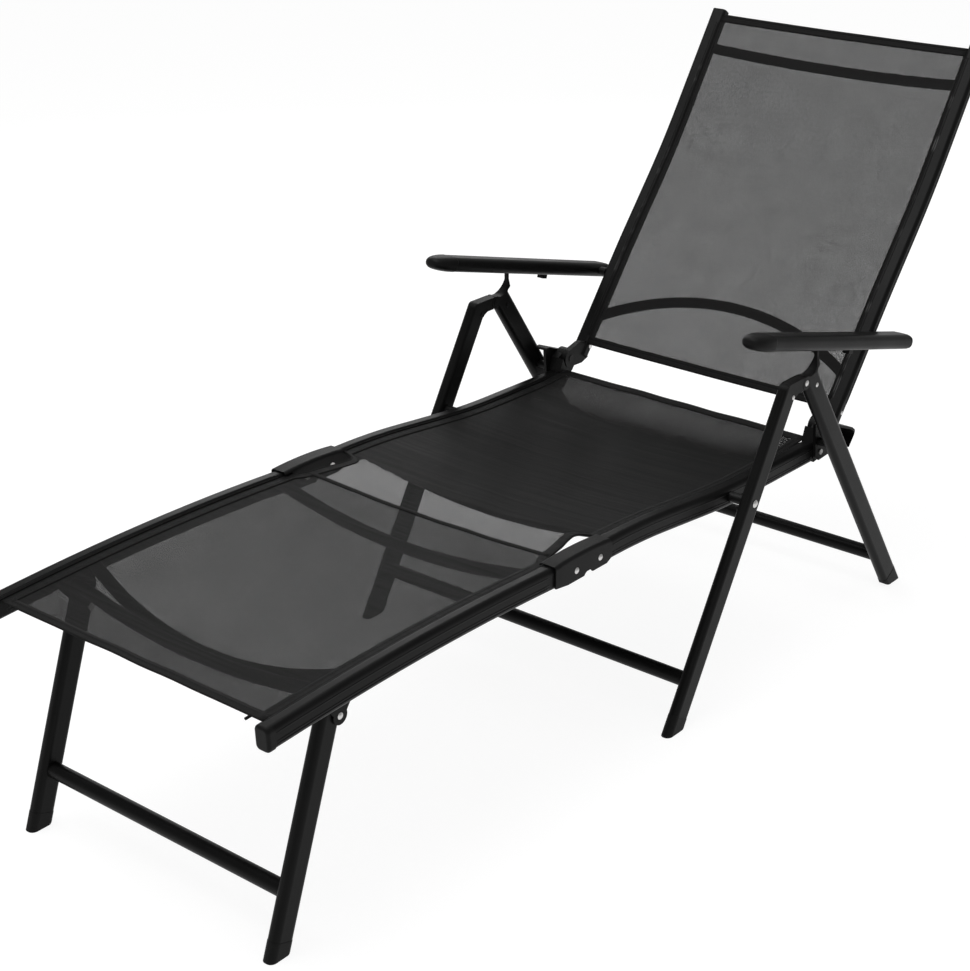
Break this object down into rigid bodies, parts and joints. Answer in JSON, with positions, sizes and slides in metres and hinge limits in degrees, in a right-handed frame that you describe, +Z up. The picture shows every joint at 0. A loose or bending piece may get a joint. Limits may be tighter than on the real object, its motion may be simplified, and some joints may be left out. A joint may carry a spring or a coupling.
{
  "type": "reclining sun lounger",
  "caption": "Folding sun lounger with a tube frame, mesh slings, a reclining back, hinged armrests and a fold-under leg rest.",
  "frame": {"origin": "on the floor, under the middle of the bounding box", "axes": "+X across the width, +Y along the length towards the head end, +Z up"},
  "size_m": [0.667, 1.758, 0.9057],
  "materials": {
    "black_frame": "black powder coat, satin",
    "black_steel": "black paint, satin",
    "black_plastic": "moulded, slightly glossy",
    "steel_hardware": "zinc plated",
    "sling_mesh": "open woven coated-yarn mesh"
  },
  "bodies": {
    "seat": {"seat_rail_left": "black_frame", "seat_rail_right": "black_frame", "knee_cover_left": "black_plastic", "knee_cover_right": "black_plastic", "hinge_corner_left": "black_plastic", "hinge_corner_right": "black_plastic", "hinge_plates": "black_steel", "hinge_pads": "black_plastic", "seat_front_tube": "black_frame", "seat_rear_tube": "black_frame", "knee_bolts": "steel_hardware", "hinge_bolts": "steel_hardware", "leg_pivot_bolts": "steel_hardware", "seat_sling": "sling_mesh"},
    "back": {"back_rail_left": "black_frame", "back_rail_right": "black_frame", "back_tongues": "black_plastic", "tongue_rivets": "steel_hardware", "back_caps": "black_plastic", "back_low_tube": "black_frame", "back_high_tube": "black_frame", "armrest_bolts": "steel_hardware", "back_sling": "sling_mesh"},
    "armrest_left": {"armrest_left": "black_frame", "armrest_front_cap_left": "black_plastic", "armrest_rear_cap_left": "black_plastic", "notch_rack_left": "black_plastic", "stop_peg_left": "black_plastic"},
    "armrest_right": {"armrest_right": "black_frame", "armrest_front_cap_right": "black_plastic", "armrest_rear_cap_right": "black_plastic", "notch_rack_right": "black_plastic", "stop_peg_right": "black_plastic"},
    "leg_rest": {"leg_rail_left": "black_frame", "leg_rail_right": "black_frame", "leg_rail_end_caps": "black_plastic", "foot_leg_plates": "black_steel", "leg_foot_tube": "black_frame", "leg_knee_tube": "black_frame", "leg_sling": "sling_mesh", "foot_pivot_bolts": "steel_hardware"},
    "foot_legs": {"foot_leg_left": "black_frame", "foot_leg_right": "black_frame", "foot_leg_plugs": "black_plastic", "foot_leg_stretcher": "black_frame", "foot_leg_crossbar": "black_frame", "foot_leg_feet": "black_plastic"},
    "front_legs": {"front_leg_left": "black_frame", "front_leg_right": "black_frame", "front_leg_lugs": "black_frame", "lug_rivets": "steel_hardware", "front_crossbar": "black_frame", "front_feet": "black_plastic"},
    "rear_legs": {"rear_leg_left": "black_frame", "rear_leg_right": "black_frame", "armrest_post_left": "black_frame", "armrest_post_right": "black_frame", "rear_crossbar": "black_frame", "rear_feet": "black_plastic", "leg_joint_bolts": "steel_hardware"}
  },
  "joints": [
    {"name": "back_recline", "type": "hinge", "parent": "seat", "child": "back", "pos_m": [0, 0.4127, 0.347], "axis": [1, 0, 0], "range_deg": [-50, 22]},
    {"name": "armrest_left_tilt", "type": "hinge", "parent": "back", "child": "armrest_left", "pos_m": [0, 0.5487, 0.4705], "axis": [1, 0, 0], "range_deg": [-13.2, 30]},
    {"name": "armrest_right_tilt", "type": "hinge", "parent": "back", "child": "armrest_right", "pos_m": [0, 0.5487, 0.4705], "axis": [1, 0, 0], "range_deg": [-13.2, 30]},
    {"name": "knee_fold", "type": "hinge", "parent": "seat", "child": "leg_rest", "pos_m": [0, -0.2713, 0.345], "axis": [1, 0, 0], "range_deg": [0, 75]},
    {"name": "foot_leg_fold", "type": "hinge", "parent": "leg_rest", "child": "foot_legs", "pos_m": [0, -0.7283, 0.306], "axis": [1, 0, 0], "range_deg": [0, 105]},
    {"name": "frame_fold", "type": "hinge", "parent": "seat", "child": "front_legs", "pos_m": [0, 0.1287, 0.321], "axis": [1, 0, 0], "range_deg": [-30, 0]},
    {"name": "rear_leg_close", "type": "hinge", "parent": "front_legs", "child": "rear_legs", "pos_m": [0, 0.2627, 0.48], "axis": [1, 0, 0], "range_deg": [-45, 0]}
  ],
  "couplings": [
    {"joint": "armrest_left_tilt", "follows": "back_recline", "ratio": -0.6},
    {"joint": "armrest_right_tilt", "follows": "back_recline", "ratio": -0.6},
    {"joint": "rear_leg_close", "follows": "frame_fold", "ratio": 1.5}
  ]
}
